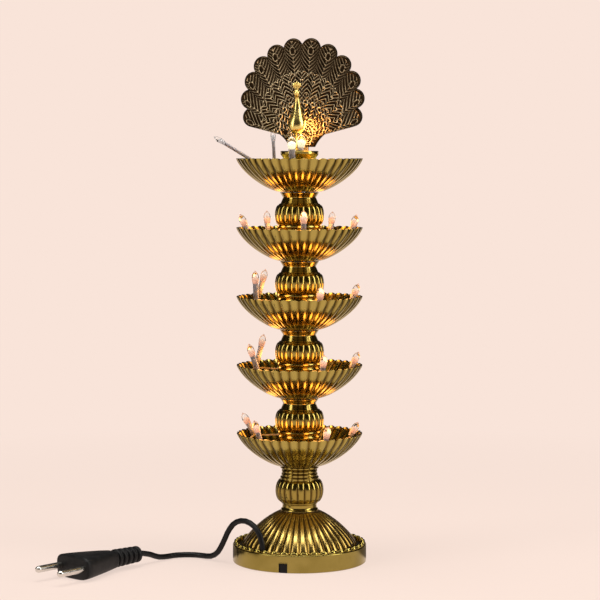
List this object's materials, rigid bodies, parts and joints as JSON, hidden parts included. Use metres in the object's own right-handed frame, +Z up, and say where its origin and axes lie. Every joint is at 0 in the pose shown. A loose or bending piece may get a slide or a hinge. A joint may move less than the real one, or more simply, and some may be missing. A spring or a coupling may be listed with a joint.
{
  "type": "tiered standing lamp",
  "caption": "Gold standing lamp of fluted bowls stacked on hollow stems over a domed base, ringed with small electric bulbs, with a peacock finial and a mains flex.",
  "frame": {"origin": "middle of the underside, on the surface that the lamp stands on", "axes": "+Z up along the lamp pipe, -Y towards the front that the peacock faces, +X to the right seen from the front"},
  "size_m": [0.1732, 0.1474, 0.3145],
  "materials": {
    "gold_plating": "bright gold metallised plastic",
    "antique_gold": "darker antique gold metallised plastic",
    "plated_steel": "zinc plated steel",
    "nickel": "nickel plated",
    "black_plastic": "moulded black, faint sheen",
    "black_flex": "black flex sheath",
    "warm_bulb": "clear glass, warm filament, translucent sleeve",
    "clear_lead": "thin translucent insulation",
    "block_plastic": "off-white moulding"
  },
  "bodies": {
    "base": {"base_shell": "gold_plating", "bottom_cover": "black_plastic", "cover_screw_1": "plated_steel", "cover_screw_2": "plated_steel", "cover_screw_3": "plated_steel", "base_stem": "gold_plating", "lamp_pipe": "plated_steel", "pipe_washer_bottom": "plated_steel", "pipe_nut_bottom": "plated_steel", "pipe_washer_top": "plated_steel", "pipe_nut_top": "plated_steel", "terminal_block": "block_plastic", "inner_lead": "black_flex", "riser_lead": "clear_lead", "cord": "black_flex", "plug_body": "black_plastic", "plug_pin_left": "nickel", "plug_pin_right": "nickel"},
    "tier_1": {"bowl_1": "gold_plating", "stem_1": "gold_plating", "bulb_1_1": "warm_bulb", "bulb_1_2": "warm_bulb", "bulb_1_3": "warm_bulb", "bulb_1_4": "warm_bulb", "bulb_1_5": "warm_bulb", "light_lead_1": "clear_lead"},
    "tier_2": {"bowl_2": "gold_plating", "stem_2": "gold_plating", "bulb_2_1": "warm_bulb", "bulb_2_2": "warm_bulb", "bulb_2_3": "warm_bulb", "bulb_2_4": "warm_bulb", "bulb_2_5": "warm_bulb", "light_lead_2": "clear_lead"},
    "tier_3": {"bowl_3": "gold_plating", "stem_3": "gold_plating", "bulb_3_1": "warm_bulb", "bulb_3_2": "warm_bulb", "bulb_3_3": "warm_bulb", "bulb_3_4": "warm_bulb", "bulb_3_5": "warm_bulb", "light_lead_3": "clear_lead"},
    "tier_4": {"bowl_4": "gold_plating", "stem_4": "gold_plating", "bulb_4_1": "warm_bulb", "bulb_4_2": "warm_bulb", "bulb_4_3": "warm_bulb", "bulb_4_4": "warm_bulb", "bulb_4_5": "warm_bulb", "light_lead_4": "clear_lead"},
    "tier_5": {"bowl_5": "gold_plating", "bulb_5_1": "warm_bulb", "bulb_5_2": "warm_bulb", "bulb_5_3": "warm_bulb", "light_lead_5": "clear_lead", "finial_pedestal": "gold_plating", "peacock_body": "gold_plating", "peacock_tail": "antique_gold", "bird_bulb": "warm_bulb"}
  },
  "joints": [
    {"name": "tier_1_turn", "type": "hinge", "parent": "base", "child": "tier_1", "pos_m": [0, 0, 0.058], "axis": [0, 0, 1], "range_deg": [-30, 30]},
    {"name": "tier_2_turn", "type": "hinge", "parent": "base", "child": "tier_2", "pos_m": [0, 0, 0.0993], "axis": [0, 0, 1], "range_deg": [-30, 30]},
    {"name": "tier_3_turn", "type": "hinge", "parent": "base", "child": "tier_3", "pos_m": [0, 0, 0.1406], "axis": [0, 0, 1], "range_deg": [-30, 30]},
    {"name": "tier_4_turn", "type": "hinge", "parent": "base", "child": "tier_4", "pos_m": [0, 0, 0.1819], "axis": [0, 0, 1], "range_deg": [-30, 30]},
    {"name": "tier_5_turn", "type": "hinge", "parent": "base", "child": "tier_5", "pos_m": [0, 0, 0.2232], "axis": [0, 0, 1], "range_deg": [-30, 30]}
  ]
}
